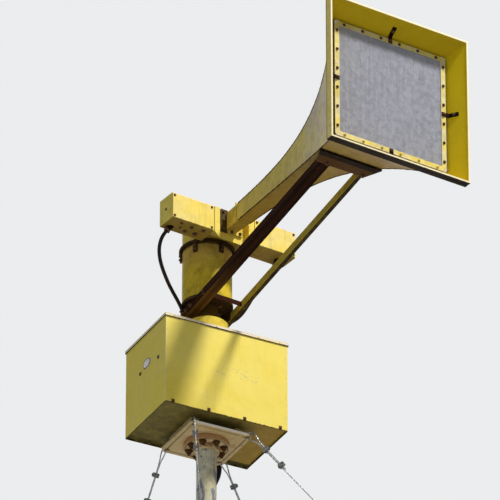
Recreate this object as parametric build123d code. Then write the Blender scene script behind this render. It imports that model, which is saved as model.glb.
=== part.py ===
from build123d import *
import math
import os

# Civil defense siren tower: a horn siren that turns on a guyed pipe mast.
# Millimetres, +Z up. The origin is the centre of the base flange's underside.
# X runs along the siren's cross beam, and the horn points along -Y at rest.

os.makedirs("parts", exist_ok=True)

# Clearance between pieces that are seated on each other
seat_gap = 0.3

# How far a cutting tool passes beyond the faces it cuts
cut_margin = 1.0

# Mast: one length of 4 inch pipe with a flange welded on each end
mast_height = 6400.0
pipe_diameter = 114.3
pipe_wall = 6.0
flange_diameter = 254.0
flange_thickness = 32.0
hub_diameter = 146.0
hub_height = 24.0
bolt_circle = 200.0
bolt_count = 8
bolt_hole = 22.4

# Guy plate on the top flange, with an eye in each corner
plate_side = 390.0
plate_thickness = 14.0
plate_corner_cut = 26.0
eye_hole = 30.0
eye_inset = 32.0
spacer_height = 39.0
spacer_width = 50.0
spacer_wall = 5.0
spacer_offset = 140.0
spacer_length = 262.0

# Guys: wire rope from each eye down to an anchor in the ground
rope_diameter = 8.0
loop_radius = 22.0
loop_thickness = 6.0
clip_length = 26.0
clip_width = 30.0
clip_depth = 22.0
clip_stations = (130.0, 280.0)
turnbuckle_length = 300.0
turnbuckle_width = 34.0
turnbuckle_bar = 9.0
turnbuckle_boss = 30.0
turnbuckle_jaw = 22.0
anchor_plate_side = 180.0
anchor_plate_thickness = 14.0
anchor_bolt_spacing = 120.0
anchor_bolt_hole = 22.0
anchor_lug_thickness = 16.0
anchor_lug_length = 110.0
anchor_lug_height = 70.0
guy_slope = {"near": 1.71, "right": 1.30, "far": 1.70, "left": 1.70}
guy_azimuth = {"near": -118.0, "right": -57.0, "far": 7.0, "left": 93.0}
eye_azimuth = {"near": -135.0, "right": -45.0, "far": 45.0, "left": 135.0}

# Rotator housing: a sheet metal box that doesn't turn
housing_turn = -6.0
housing_width = 765.0
housing_depth = 495.0
housing_height = 546.0
housing_sheet = 3.0
housing_flange = 25.0
pan_recess = 12.0
lid_height = 18.0
lid_overhang = 5.0
latch_size = 13.0
latch_projection = 7.0
latch_inset = 47.0
latch_rise = 14.0
drum_radius = 122.0
drum_height = 141.0
drum_chamfer = 6.0
shaft_bore_depth = 90.0
bearing_clearance = 0.4

# Power conduit down the back of the mast
feed_diameter = 30.0
feed_gap = 16.0
feed_exit_side = 167.5
feed_exit_back = 47.5
feed_clip_width = 30.0
feed_clip_wall = 3.0
feed_clip_spacing = 1300.0
feed_clip_lowest = 600.0
feed_clip_bridge = 12.0
feed_exit_drop = 90.0
feed_lean_drop = 290.0
feed_straight_drop = 480.0
feed_kick_top = 420.0
feed_kick_bottom = 200.0

# Turning head, from the shaft up
neck_radius = 62.0
neck_wall = 8.0
neck_height = 108.0
base_disc_radius = 148.0
base_disc_thickness = 16.0
casing_radius = 142.0
casing_wall = 5.0
casing_height = 342.0
ring_radius = 160.0
ring_thickness = 16.0
ring_bore_radius = 96.0
ring_bolts = 6
ring_lug_width = 26.0
ring_lug_depth = 12.0
ring_lug_drop = 58.0
chopper_radius = 142.0
chopper_height = 138.0
chopper_crown = 18.0

# Cross beam in front of the chopper housing
beam_front = -282.0
beam_rear = -147.0
beam_bottom = 315.0
beam_height = 165.0
beam_half_length = 415.0
box_half_start = 138.0
centre_half_width = 133.0
centre_dip = 34.0
recess_half_width = 97.0
recess_depth = 40.0
box_wall = 5.0
cover_thickness = 4.0
cover_margin = 3.0
cover_corner = 8.0
beam_ring_gap = 2.0

# Horn: four singly curved sheets between the throat and the mouth
horn_sheet = 4.0
horn_throat_half = {"plan": 30.0, "side": 50.0}
horn_taper = {"plan": 66.0, "side": 23.0}
horn_mouth_half = 451.0
horn_length = 1683.0
horn_throat_rise = 424.0
horn_mouth_rise = 448.0
horn_flare_power = 3.2
throat_duct_length = 111.0
throat_duct_flange = 12.0
throat_plate_half = 72.0
throat_plate_thickness = 12.0
rim_overlap = 7.0
rim_band = 50.0
rim_sheet = 4.0
screen_setback = 95.0
screen_wall_gap = 19.0
strap_width = 30.0
strap_thickness = 4.0
mesh_inset = 2.0
mesh_cells = 12
mesh_bar = 12.0
mesh_bar_thickness = 1.5
screen_clip_width = 24.0
screen_clip_sheet = 4.0
screen_clip_leg = 50.0

# Horn support: cross bracket and two struts down to the base disc
support_station = 0.713
support_depth = 110.0
support_half_length = 205.0
support_bevel = 45.0
support_drop = 10.0
support_leg = 30.0
support_sheet = 6.0
strut_inner_face = 126.0
strut_height = 50.0
strut_near_foot = 64.0
strut_far_foot = 25.0
strut_sheet = 5.0
strut_tail_drop = 76.0
strut_tail_y = 30.0
strut_end_lap = 30.0
strut_clearance = 2.0
hanger_thickness = 8.0
hanger_length = 80.0
crossbar_y = -160.0
crossbar_height = 28.0
crossbar_sheet = 6.0

# Flexible conduits that turn with the head
cable_diameter = 21.0
gland_diameter = 34.0
gland_length = 30.0
conduit_body = 44.0
conduit_body_height = 66.0
cable_points = {
    "left": [
        (-380, -178, 312),
        (-402, -166, 278),
        (-416, -154, 228),
        (-413, -139, 176),
        (-386, -114, 127),
        (-341, -86, 79),
        (-284, -52, 34),
        (-222, -17, 3),
        (-168, 18, -19),
        (-120, 62, -28),
    ],
    "right": [
        (330, -204, 305),
        (316, -200, 272),
        (294, -190, 230),
        (270, -170, 184),
        (250, -140, 140),
        (237, -103, 98),
        (230, -62, 60),
        (222, -20, 28),
        (206, 20, 6),
        (182, 54, -8),
        (152, 80, -22),
        (118, 98, -36),
    ],
}

# Levels worked out from the sizes above
tail_offset = rope_diameter + 0.5
loop_inner = loop_radius - rope_diameter / 2 - seat_gap
eye_reach = math.sqrt((eye_hole / 2) ** 2 - (loop_thickness / 2) ** 2)
loop_reach = eye_reach + math.sqrt(loop_inner**2 - (plate_thickness / 2) ** 2)
plate_bottom = mast_height
plate_top = plate_bottom + plate_thickness
housing_bottom = plate_top + spacer_height
housing_top = housing_bottom + housing_height
lid_top = housing_top + lid_height
drum_top = lid_top + drum_height
neck_bottom = drum_top - shaft_bore_depth + bearing_clearance
feed_exit_x = housing_width / 2 - feed_exit_side
feed_exit_y = housing_depth / 2 - feed_exit_back
disc_bottom = drum_top + neck_height
disc_top = disc_bottom + base_disc_thickness
casing_top = disc_top + casing_height
ring_top = casing_top + ring_thickness
chopper_top = ring_top + chopper_height
beam_low = disc_top + beam_bottom
beam_high = beam_low + beam_height


def save(shape, node):
    """Write one named piece."""
    export_step(shape, f"parts/{node}.step")


def block(x0, x1, y0, y1, z0, z1):
    """A box between two corners."""
    size = (x1 - x0, y1 - y0, z1 - z0)
    centre = ((x0 + x1) / 2, (y0 + y1) / 2, (z0 + z1) / 2)
    return Pos(*centre) * Box(*size)


def disc(radius, z0, z1):
    """An upright cylinder on the mast's axis."""
    return Pos(0, 0, (z0 + z1) / 2) * Cylinder(radius, z1 - z0)


def turned(shape):
    """Turn a fixed piece with the housing, about the mast's axis."""
    return shape.rotate(Axis.Z, housing_turn)


def side_profile(points, half_width):
    """Extrude a closed outline in the Y-Z plane to both sides of X = 0."""
    outline = Plane.YZ * make_face(Polyline(*points, close=True))
    return extrude(outline, half_width, both=True)


# Mast
def mast_flange(face_level, up):
    """A flange with a socket hub; up is +1 where the hub is above the flange."""
    z0, z1 = sorted((face_level, face_level + up * flange_thickness))
    plate = disc(flange_diameter / 2, z0, z1)
    hub_end = face_level + up * (flange_thickness + hub_height)
    h0, h1 = sorted((face_level + up * flange_thickness, hub_end))
    hub = disc(hub_diameter / 2, h0, h1)
    socket = disc(pipe_diameter / 2 + seat_gap, h0, h1)
    return plate + (hub - socket)


def bolt_holes(z0, z1):
    """The round pattern of bolt holes through a flange."""
    cutter = Pos(0, 0, (z0 + z1) / 2) * Cylinder(bolt_hole / 2, z1 - z0)
    return [loc * cutter for loc in PolarLocations(bolt_circle / 2, bolt_count)]


def build_mast():
    base = mast_flange(0, 1)
    for hole in bolt_holes(-cut_margin, flange_thickness + cut_margin):
        base -= hole
    save(base, "mast_base_flange")

    save(mast_flange(mast_height, -1), "mast_top_flange")

    pipe_low = flange_thickness
    pipe_high = mast_height - flange_thickness
    pipe = disc(pipe_diameter / 2, pipe_low, pipe_high)
    pipe -= disc(pipe_diameter / 2 - pipe_wall, pipe_low, pipe_high)
    save(pipe, "mast_pipe")


# Guy plate and its spacers
def eye_place(side):
    """Centre of one corner eye, on the turned plate."""
    reach = (plate_side / 2 - eye_inset) * math.sqrt(2)
    angle = math.radians(eye_azimuth[side] + housing_turn)
    return reach * math.cos(angle), reach * math.sin(angle)


def build_plate():
    half = plate_side / 2
    plate = block(-half, half, -half, half, plate_bottom, plate_top)
    plate = chamfer(plate.edges().filter_by(Axis.Z), plate_corner_cut)
    plate = turned(plate)
    for side in guy_slope:
        x, y = eye_place(side)
        plate -= Pos(x, y, plate_bottom + plate_thickness / 2) * Cylinder(eye_hole / 2, 2 * plate_thickness)
    save(plate, "guy_plate")

    # Two channels, open downwards, carry the housing's pan
    channels = []
    top = housing_bottom + pan_recess
    length = spacer_length / 2
    for x in (-spacer_offset, spacer_offset):
        outer = block(x - spacer_width / 2, x + spacer_width / 2, -length, length, plate_top, top)
        inner = block(
            x - spacer_width / 2 + spacer_wall,
            x + spacer_width / 2 - spacer_wall,
            -length,
            length,
            plate_top,
            top - spacer_wall,
        )
        channels.append(turned(outer - inner))
    save(Compound(channels), "plate_channels")


# Guys
def guy_frame(side):
    """Start of the rope's run and its direction, as two vectors."""
    x, y = eye_place(side)
    azimuth = math.radians(guy_azimuth[side])
    slope = guy_slope[side]
    flat = Vector(math.cos(azimuth), math.sin(azimuth), 0)
    direction = (flat - Vector(0, 0, slope)).normalized()
    eye = Vector(x, y, plate_bottom + plate_thickness / 2) + flat * loop_reach
    return eye, direction, flat


def rope_run(side):
    """Where the rope, its turnbuckle and its anchor rod begin and end along the guy."""
    eye, direction, flat = guy_frame(side)
    total = (eye.Z - anchor_plate_thickness - anchor_lug_height / 2) / -direction.Z
    return {
        "eye": eye,
        "direction": direction,
        "flat": flat,
        "total": total,
        "rope_end": total - turnbuckle_length,
    }


def along(run, distance, across=0.0):
    """A plane square to the guy at a distance from its eye."""
    side_dir = run["direction"].cross(Vector(0, 0, 1)).normalized()
    up_dir = side_dir.cross(run["direction"]).normalized()
    origin = run["eye"] + run["direction"] * distance + up_dir * across
    return Plane(origin=origin, x_dir=side_dir, z_dir=run["direction"])


def rod_along(run, start, end, diameter, across=0.0):
    """A round rod along the guy."""
    return extrude(along(run, start, across) * Circle(diameter / 2), end - start)


def rope_loop(run):
    """The rope's loop through the plate's eye, as a ring in the guy's own upright plane."""
    plane = along(run, 0)
    ring_plane = Plane(origin=plane.origin, x_dir=plane.z_dir, z_dir=plane.x_dir)
    half = rope_diameter / 2
    ring = Circle(loop_radius + half) - Circle(loop_radius - half)
    return extrude(ring_plane * ring, loop_thickness / 2, both=True)


def anchor_plate(run):
    """Ground plate of one guy: four bolt holes and an upright lug in line with the guy."""
    foot = run["eye"] + run["direction"] * run["total"]
    half = anchor_plate_side / 2
    plate = block(-half, half, -half, half, 0, anchor_plate_thickness)
    for place in GridLocations(anchor_bolt_spacing, anchor_bolt_spacing, 2, 2):
        plate -= place * Cylinder(anchor_bolt_hole / 2, 3 * anchor_plate_thickness)
    lug = block(
        -anchor_lug_length / 2,
        anchor_lug_length / 2,
        -anchor_lug_thickness / 2,
        anchor_lug_thickness / 2,
        anchor_plate_thickness,
        anchor_plate_thickness + anchor_lug_height,
    )
    azimuth = math.degrees(math.atan2(run["flat"].Y, run["flat"].X))
    lug = lug.rotate(Axis.Z, azimuth)
    return Pos(foot.X, foot.Y, 0) * (plate + lug)


def turnbuckle(run):
    """Two side bars between two bosses, with a jaw that straddles the anchor's lug."""
    start = run["rope_end"]
    end = run["total"] - anchor_lug_length
    boss = Rectangle(turnbuckle_width, turnbuckle_boss)
    body = extrude(along(run, start) * boss, turnbuckle_boss)
    body += extrude(along(run, end - turnbuckle_boss) * boss, turnbuckle_boss)
    for sign in (-1, 1):
        bar_place = Pos(sign * (turnbuckle_width - turnbuckle_bar) / 2, 0, 0)
        bar = along(run, start) * bar_place * Rectangle(turnbuckle_bar, turnbuckle_bar)
        body += extrude(bar, end - start)
        cheek_place = Pos(sign * ((anchor_lug_thickness + turnbuckle_bar) / 2 + seat_gap), 0, 0)
        cheek = along(run, end) * cheek_place * Rectangle(turnbuckle_bar, turnbuckle_jaw)
        body += extrude(cheek, anchor_lug_length)
    return body


def build_guys():
    clips = []
    turnbuckles = []
    anchors = []
    for side in guy_slope:
        run = rope_run(side)
        rope = rope_loop(run) + rod_along(run, loop_radius, run["rope_end"], rope_diameter)
        tail_start = loop_radius + clip_length
        tail_end = clip_stations[-1] + 2 * clip_length
        tail = rod_along(run, tail_start, tail_end, rope_diameter, tail_offset)
        save(Compound([rope, tail]), f"guy_rope_{side}")

        # Clips: a saddle round both ropes
        for station in clip_stations:
            saddle = along(run, station, tail_offset / 2) * Rectangle(clip_width, clip_depth)
            clip = extrude(saddle, clip_length)
            groove = rope_diameter + 2 * seat_gap
            clip -= rod_along(run, station, station + clip_length, groove)
            clip -= rod_along(run, station, station + clip_length, groove, tail_offset)
            clips.append(clip)

        turnbuckles.append(turnbuckle(run))
        anchors.append(anchor_plate(run))
    save(Compound(clips), "guy_rope_clips")
    save(Compound(turnbuckles), "guy_turnbuckles")
    save(Compound(anchors), "guy_anchor_plates")


# Rotator housing
def build_housing():
    half_x = housing_width / 2
    half_y = housing_depth / 2
    sheet = housing_sheet
    wall_top = lid_top - sheet

    # The pan stands inside the side sheets, above their lower lips
    pan_low = housing_bottom + pan_recess
    in_x = half_x - sheet
    in_y = half_y - sheet
    pan_high = pan_low + housing_flange
    pan = block(-in_x, in_x, -in_y, in_y, pan_low, pan_high)
    pan -= block(-in_x + sheet, in_x - sheet, -in_y + sheet, in_y - sheet, pan_low + sheet, pan_high)
    save(turned(pan), "housing_pan")

    for name, sign in (("front", -1), ("rear", 1)):
        y0, y1 = sorted((sign * half_y, sign * (half_y - sheet)))
        panel = block(-half_x, half_x, y0, y1, housing_bottom, wall_top)
        save(turned(panel), f"housing_{name}_panel")
    for name, sign in (("left", -1), ("right", 1)):
        x0, x1 = sorted((sign * half_x, sign * (half_x - sheet)))
        panel = block(x0, x1, -in_y, in_y, housing_bottom, wall_top)
        save(turned(panel), f"housing_{name}_panel")

    out_x = half_x + lid_overhang
    out_y = half_y + lid_overhang
    lid = block(-out_x, out_x, -out_y, out_y, housing_top, lid_top)
    lip = lid_overhang - sheet
    lid -= block(-half_x - lip, half_x + lip, -half_y - lip, half_y + lip, housing_top, wall_top)
    lid = fillet(lid.edges().filter_by(Axis.Z).sort_by_distance((0, 0, 0))[-4:], sheet)
    save(turned(lid), "housing_lid")

    # Latches along the front's lower edge
    latches = []
    span = housing_width - 2 * latch_inset
    for i in range(4):
        x = -half_x + latch_inset + span * i / 3
        stud = Pos(x, -half_y - latch_projection / 2, housing_bottom + latch_rise)
        stud = stud * Rot(90, 0, 0) * Cylinder(latch_size / 2, latch_projection)
        latches.append(turned(stud))
    save(Compound(latches), "housing_latches")

    # Bearing drum on the lid, bored for the turning shaft
    drum = disc(drum_radius, lid_top, drum_top)
    drum = chamfer(drum.edges().sort_by(Axis.Z)[-1], drum_chamfer)
    drum -= disc(neck_radius + bearing_clearance, drum_top - shaft_bore_depth, drum_top)
    save(drum, "bearing_drum")


# Turning head: shaft, motor and chopper
def build_core():
    neck = disc(neck_radius, neck_bottom, disc_bottom)
    neck -= disc(neck_radius - neck_wall, neck_bottom, disc_bottom)
    save(neck, "neck_tube")

    # Two plates hang from the disc, inside the struts' webs
    plate = disc(base_disc_radius, disc_bottom, disc_top)
    for sign in (-1, 1):
        x0, x1 = sorted((
            sign * (strut_inner_face - seat_gap),
            sign * (strut_inner_face - seat_gap - hanger_thickness),
        ))
        plate += block(
            x0,
            x1,
            strut_tail_y - hanger_length,
            strut_tail_y,
            strut_underside(strut_tail_y - hanger_length) + strut_sheet + seat_gap,
            disc_bottom,
        )
    save(plate, "head_base_disc")

    casing = disc(casing_radius, disc_top, casing_top)
    casing -= disc(casing_radius - casing_wall, disc_top, casing_top)
    save(casing, "motor_casing")

    ring = disc(ring_radius, casing_top, ring_top) - disc(ring_bore_radius, casing_top, ring_top)
    lug_start = casing_radius + seat_gap
    for i in range(ring_bolts):
        lug = block(
            lug_start,
            lug_start + ring_lug_depth,
            -ring_lug_width / 2,
            ring_lug_width / 2,
            casing_top - ring_lug_drop,
            casing_top,
        )
        ring += lug.rotate(Axis.Z, 360 / ring_bolts * (i + 0.5))
    save(ring, "clamp_ring")

    chopper = disc(chopper_radius, ring_top, chopper_top)
    chopper = chamfer(chopper.edges().sort_by(Axis.Z)[-1], chopper_crown)
    save(chopper, "chopper_housing")


# Cross beam
def build_beam():
    rear_y = -chopper_radius / 3
    seat = ring_top + seat_gap
    profile = [
        (beam_front, beam_low - centre_dip),
        (beam_front, beam_high),
        (rear_y, beam_high),
        (rear_y, seat),
        (-ring_radius - beam_ring_gap, seat),
    ]
    centre = side_profile(profile, centre_half_width)
    centre -= disc(chopper_radius + seat_gap, ring_top - cut_margin, beam_high + cut_margin)
    recess_floor = beam_front + recess_depth
    centre -= block(
        -recess_half_width,
        recess_half_width,
        beam_front,
        recess_floor,
        beam_low - centre_dip,
        beam_high,
    )
    for sign in (-1, 1):
        wedge = [
            (sign * recess_half_width, beam_low - centre_dip),
            (sign * centre_half_width, beam_low - centre_dip),
            (sign * centre_half_width, beam_low),
        ]
        cut = Plane.XZ * make_face(Polyline(*wedge, close=True))
        centre -= extrude(cut, -2 * beam_front, both=True)
    save(centre, "beam_centre")

    covers = []
    for name, sign in (("left", -1), ("right", 1)):
        x0, x1 = sorted((sign * centre_half_width, sign * beam_half_length))
        shell = block(x0, x1, beam_front + cover_thickness, beam_rear, beam_low, beam_high)
        shell -= block(
            x0 + box_wall,
            x1 - box_wall,
            beam_front + cover_thickness,
            beam_rear - box_wall,
            beam_low + box_wall,
            beam_high - box_wall,
        )
        save(shell, f"beam_box_{name}")
        c0, c1 = sorted((sign * box_half_start, sign * (beam_half_length - cover_margin)))
        cover = block(
            c0,
            c1,
            beam_front,
            beam_front + cover_thickness,
            beam_low + cover_margin,
            beam_high - cover_margin,
        )
        covers.append(fillet(cover.edges().filter_by(Axis.Y), cover_corner))
    save(Compound(covers), "beam_box_covers")


# Horn
throat_face = beam_front + recess_depth - throat_plate_thickness
mouth_face = throat_face - horn_length
mouth_centre = disc_top + horn_mouth_rise
throat_centre = disc_top + horn_throat_rise


def horn_half(t, view):
    """Half of the horn's inner width (plan) or height (side) at a share t of its length."""
    flare = horn_mouth_half - horn_throat_half[view] - horn_taper[view]
    return horn_throat_half[view] + horn_taper[view] * t + flare * t**horn_flare_power


def horn_slope(t, view):
    """How fast that half size grows for each millimetre of length."""
    flare = horn_mouth_half - horn_throat_half[view] - horn_taper[view]
    return (horn_taper[view] + flare * horn_flare_power * t ** (horn_flare_power - 1)) / horn_length


def centre_rise(t):
    """Level of the horn's centreline at a share t of its length."""
    return throat_centre + (mouth_centre - throat_centre) * t


horn_stations = [0, 0.2, 0.4, 0.55, 0.68, 0.8, 0.9, 1.0]


def wall_line(sign, skin, view):
    """Plan or side outline of one wall, skin being its distance outside the inner face."""
    points = []
    for t in horn_stations:
        lean = math.atan(horn_slope(t, view))
        reach = horn_half(t, view) + skin / math.cos(lean)
        points.append((throat_face - horn_length * t, sign * reach))
    return points


def plan_solid(skin):
    """All that lies between the left and right walls, seen from above."""
    left = [(x, y) for y, x in wall_line(-1, skin, "plan")]
    right = [(x, y) for y, x in wall_line(1, skin, "plan")]
    outline = Curve() + [Spline(*left), Line(left[-1], right[-1]), Spline(*right), Line(right[0], left[0])]
    low = disc_bottom - horn_mouth_half
    return Pos(0, 0, low) * extrude(make_face(outline), 4 * horn_mouth_half)


def side_solid(skin):
    """All that lies between the bottom and top walls, seen from the side."""
    rises = [centre_rise(t) for t in horn_stations]
    low = [(y, rise + z) for (y, z), rise in zip(wall_line(-1, skin, "side"), rises)]
    high = [(y, rise + z) for (y, z), rise in zip(wall_line(1, skin, "side"), rises)]
    outline = Curve() + [Spline(*low), Line(low[-1], high[-1]), Spline(*high), Line(high[0], low[0])]
    return extrude(Plane.YZ * make_face(outline), 2 * horn_mouth_half, both=True)


def square_ring(centre, outer, inner, y0, y1):
    """A square frame across the horn, outer and inner being half widths."""
    ring = block(-outer, outer, y0, y1, centre - outer, centre + outer)
    return ring - block(-inner, inner, y0, y1, centre - inner, centre + inner)


def build_horn():
    inner_plan = plan_solid(0)
    outer_plan = plan_solid(horn_sheet)
    inner_side = side_solid(0)
    outer_side = side_solid(horn_sheet)
    span = 2 * horn_mouth_half
    duct_end = throat_face - throat_duct_length
    beyond_rim = block(-span, span, mouth_face - span, mouth_face + rim_sheet, 0, disc_top + 2 * span)
    behind_duct = block(-span, span, duct_end, throat_face + cut_margin, 0, disc_top + 2 * span)

    # Four sheets, the level ones let in between the upright ones
    side_walls = (outer_plan - inner_plan) & outer_side
    side_walls -= beyond_rim + behind_duct
    for wall in side_walls.solids():
        name = "left" if wall.center().X < 0 else "right"
        save(wall, f"horn_wall_{name}")
    level_walls = (outer_side - inner_side) & inner_plan
    level_walls -= beyond_rim + behind_duct
    for wall in level_walls.solids():
        name = "bottom" if wall.center().Z < centre_rise(0.5) else "top"
        save(wall, f"horn_wall_{name}")

    # Throat: a short duct with a flange at each end
    passage = inner_plan & inner_side
    duct = (outer_plan & outer_side) & behind_duct
    duct_t = throat_duct_length / horn_length
    half_x = horn_half(duct_t, "plan") + throat_duct_flange
    half_z = horn_half(duct_t, "side") + throat_duct_flange
    duct += block(
        -half_x,
        half_x,
        duct_end,
        duct_end + throat_plate_thickness / 2,
        centre_rise(duct_t) - half_z,
        centre_rise(duct_t) + half_z,
    )
    save(duct - passage, "throat_duct")
    plate = block(
        -throat_plate_half,
        throat_plate_half,
        throat_face,
        throat_face + throat_plate_thickness,
        throat_centre - throat_plate_half,
        throat_centre + throat_plate_half,
    )
    plate -= block(
        -horn_throat_half["plan"],
        horn_throat_half["plan"],
        throat_face,
        throat_face + throat_plate_thickness,
        throat_centre - horn_throat_half["side"],
        throat_centre + horn_throat_half["side"],
    )
    save(plate, "throat_flange")

    # Rim: a front lip with a band folded back round the outside
    rim_half = horn_mouth_half + rim_overlap
    rim = square_ring(mouth_centre, rim_half, rim_half - rim_sheet, mouth_face, mouth_face + rim_band)
    lip_inner = horn_mouth_half - rim_sheet
    rim += square_ring(mouth_centre, rim_half, lip_inner, mouth_face, mouth_face + rim_sheet)
    save(rim, "mouth_rim")

    # Screen: upright and level bars behind a strap frame, standing clear of the walls
    strap_front = mouth_face + screen_setback
    strap_back = strap_front + strap_thickness
    screen_t = (throat_face - strap_front) / horn_length
    centre = centre_rise(screen_t)
    strap_half = horn_half(screen_t, "plan") - screen_wall_gap
    strap_inner = strap_half - strap_width
    save(square_ring(centre, strap_half, strap_inner, strap_front, strap_back), "screen_frame")
    mesh_half = strap_half - mesh_inset
    mesh_pitch = (2 * mesh_half - mesh_bar) / mesh_cells
    bar = Pos(0, mesh_bar_thickness / 2, 0) * Box(mesh_bar, mesh_bar_thickness, 2 * mesh_half)
    uprights = [place * bar for place in GridLocations(mesh_pitch, 0, mesh_cells + 1, 1)]
    levels = [Pos(0, mesh_bar_thickness, 0) * upright.rotate(Axis.Y, 90) for upright in uprights]
    save(Pos(0, strap_back, centre) * Compound(uprights + levels), "mouth_screen")

    # Four bent clips: a foot on each strap, and a leg that follows the wall towards the mouth
    seat = plan_solid(-seat_gap) & side_solid(-seat_gap)
    inside = plan_solid(-seat_gap - screen_clip_sheet) & side_solid(-seat_gap - screen_clip_sheet)
    foot = block(
        -screen_clip_width / 2,
        screen_clip_width / 2,
        strap_front - screen_clip_sheet,
        strap_front,
        strap_inner + mesh_inset,
        horn_mouth_half,
    )
    leg = block(
        -screen_clip_width / 2,
        screen_clip_width / 2,
        strap_front - screen_clip_leg,
        strap_front,
        strap_half,
        horn_mouth_half,
    )
    clips = []
    for quarter in range(4):
        foot_here = Pos(0, 0, centre) * foot.rotate(Axis.Y, 90 * quarter)
        leg_here = Pos(0, 0, centre) * leg.rotate(Axis.Y, 90 * quarter)
        clips.append((foot_here & seat) + ((leg_here & seat) - inside))
    save(Compound(clips), "screen_clips")


# Horn support: cross bracket under the horn, and two struts
support_front = throat_face - horn_length * support_station
support_rear = support_front + support_depth
support_half_height = horn_half(support_station, "side")
bracket_top = centre_rise(support_station) - support_half_height - horn_sheet - support_drop
strut_tail_level = disc_bottom - strut_tail_drop
strut_slope = (bracket_top - strut_tail_level) / (strut_tail_y - support_rear)


def strut_underside(y):
    """Level of a strut's lower edge at a place along Y."""
    return strut_tail_level + strut_slope * (strut_tail_y - y)


def strut(sign, foot_start, foot_end):
    """An angle bar: an upright web, and a foot between two distances from the middle."""
    web_start = strut_inner_face
    web_end = strut_inner_face + strut_sheet
    end_y = support_rear - strut_end_lap

    def bar(x0, x1, height):
        outline = [
            (strut_tail_y, strut_underside(strut_tail_y)),
            (strut_tail_y, strut_underside(strut_tail_y) + height),
            (end_y, strut_underside(end_y) + height),
            (end_y, strut_underside(end_y)),
        ]
        face = Plane.YZ * make_face(Polyline(*outline, close=True))
        low, high = sorted((sign * x0, sign * x1))
        return Pos(low, 0, 0) * extrude(face, high - low)

    return bar(web_start, web_end, strut_height) + bar(foot_start, foot_end, strut_sheet)


def build_support():
    web_end = strut_inner_face + strut_sheet
    reach = 2 * support_half_length
    taken = block(-reach, reach, support_front, support_rear, bracket_top - reach, bracket_top)
    taken += side_solid(horn_sheet + strut_clearance)
    near = strut(-1, web_end - strut_near_foot, web_end) - taken
    save(near, "strut_near")
    far = strut(1, strut_inner_face, strut_inner_face + strut_far_foot) - taken
    save(far, "strut_far")

    # The bracket is a leg down from the horn's underside, and a plate under the struts' ends
    leg = block(
        -support_half_length,
        support_half_length,
        support_front,
        support_front + support_sheet,
        bracket_top - support_sheet,
        bracket_top + support_leg,
    )
    plate_outline = [
        (-support_half_length, support_front),
        (support_half_length, support_front),
        (support_half_length - support_bevel, support_rear),
        (-support_half_length + support_bevel, support_rear),
    ]
    plate = extrude(make_face(Polyline(*plate_outline, close=True)), support_sheet)
    plate = Pos(0, 0, bracket_top - support_sheet) * plate
    bracket = leg + plate - side_solid(horn_sheet + seat_gap)
    save(bracket.solids().sort_by(Axis.Z)[0], "horn_bracket")

    mid = strut_underside(crossbar_y) + strut_height / 2 + strut_sheet / 2
    bar = block(
        -strut_inner_face + seat_gap,
        strut_inner_face - seat_gap,
        crossbar_y - crossbar_sheet / 2,
        crossbar_y + crossbar_sheet / 2,
        mid - crossbar_height / 2,
        mid + crossbar_height / 2,
    )
    save(bar, "strut_crossbar")


# Flexible conduits between the beam boxes and the base disc
def cable_route(side):
    """Points of one conduit, from the beam's gland to the base's gland."""
    return [Vector(x, y, disc_bottom + z) for x, y, z in cable_points[side]]


def turn_radii(points):
    """Radius of each corner: 0.45 of the shorter run, over the tangent of half the turn."""
    radii = []
    for before, corner, after in zip(points, points[1:], points[2:]):
        run_in = corner - before
        run_out = after - corner
        turn = math.radians(run_in.get_angle(run_out))
        radii.append(0.45 * min(run_in.length, run_out.length) / math.tan(turn / 2))
    return radii


def cord(points, radii, diameter):
    """A round cord along straight runs joined by arcs."""
    path = FilletPolyline(*points, radius=radii)
    start = Plane(origin=points[0], z_dir=points[1] - points[0])
    return sweep(start * Circle(diameter / 2), path)


def gland(end, inward, length):
    """A round gland that a conduit's end enters."""
    place = Plane(origin=end, z_dir=inward)
    return extrude(place * Circle(gland_diameter / 2), length)


def build_cables():
    glands = []
    for side in cable_points:
        points = cable_route(side)
        radii = turn_radii(points)
        print(side, "conduit radii", [round(r) for r in radii])
        save(cord(points, radii, cable_diameter), f"cable_{side}")

        outward = (points[0] - points[1]).normalized()
        upper = gland(points[0], outward, 2 * gland_length)
        span = 2 * beam_half_length
        upper -= block(-span, span, -span, span, beam_low, beam_high)
        glands.append(upper)
        inward = (points[-1] - points[-2]).normalized()
        lower = gland(points[-1], inward, gland_length)
        heart = points[-1] + inward * gland_length
        half = conduit_body / 2
        middle = disc_bottom - conduit_body_height / 2
        body = Pos(heart.X, heart.Y, middle) * Cylinder(half, conduit_body_height)
        glands.append(lower + body)
    save(Compound(glands), "cable_glands")


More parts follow.
